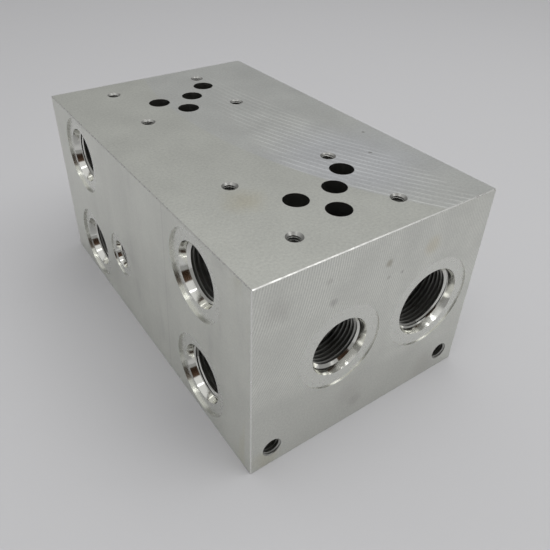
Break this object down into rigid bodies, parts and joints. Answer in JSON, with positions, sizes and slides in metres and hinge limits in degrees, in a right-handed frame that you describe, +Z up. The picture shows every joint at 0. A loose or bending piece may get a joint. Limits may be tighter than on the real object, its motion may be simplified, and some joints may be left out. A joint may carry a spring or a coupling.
{
  "type": "hydraulic manifold block",
  "caption": "Rectangular machined aluminium manifold block with threaded oil ports on one side and both ends, and drilled faces on top for bolted-on directional valves.",
  "frame": {"origin": "centre of the bottom face", "axes": "+Z up to the valve faces, +Y along the bar and its galleries, -X towards the work ports"},
  "size_m": [0.126, 0.208, 0.102],
  "materials": {
    "machined_aluminium": "bare machined: face-milled top, finely milled end, satin sides, polished port seats"
  },
  "bodies": {
    "root": {"manifold_block": "machined_aluminium"}
  },
  "joints": []
}
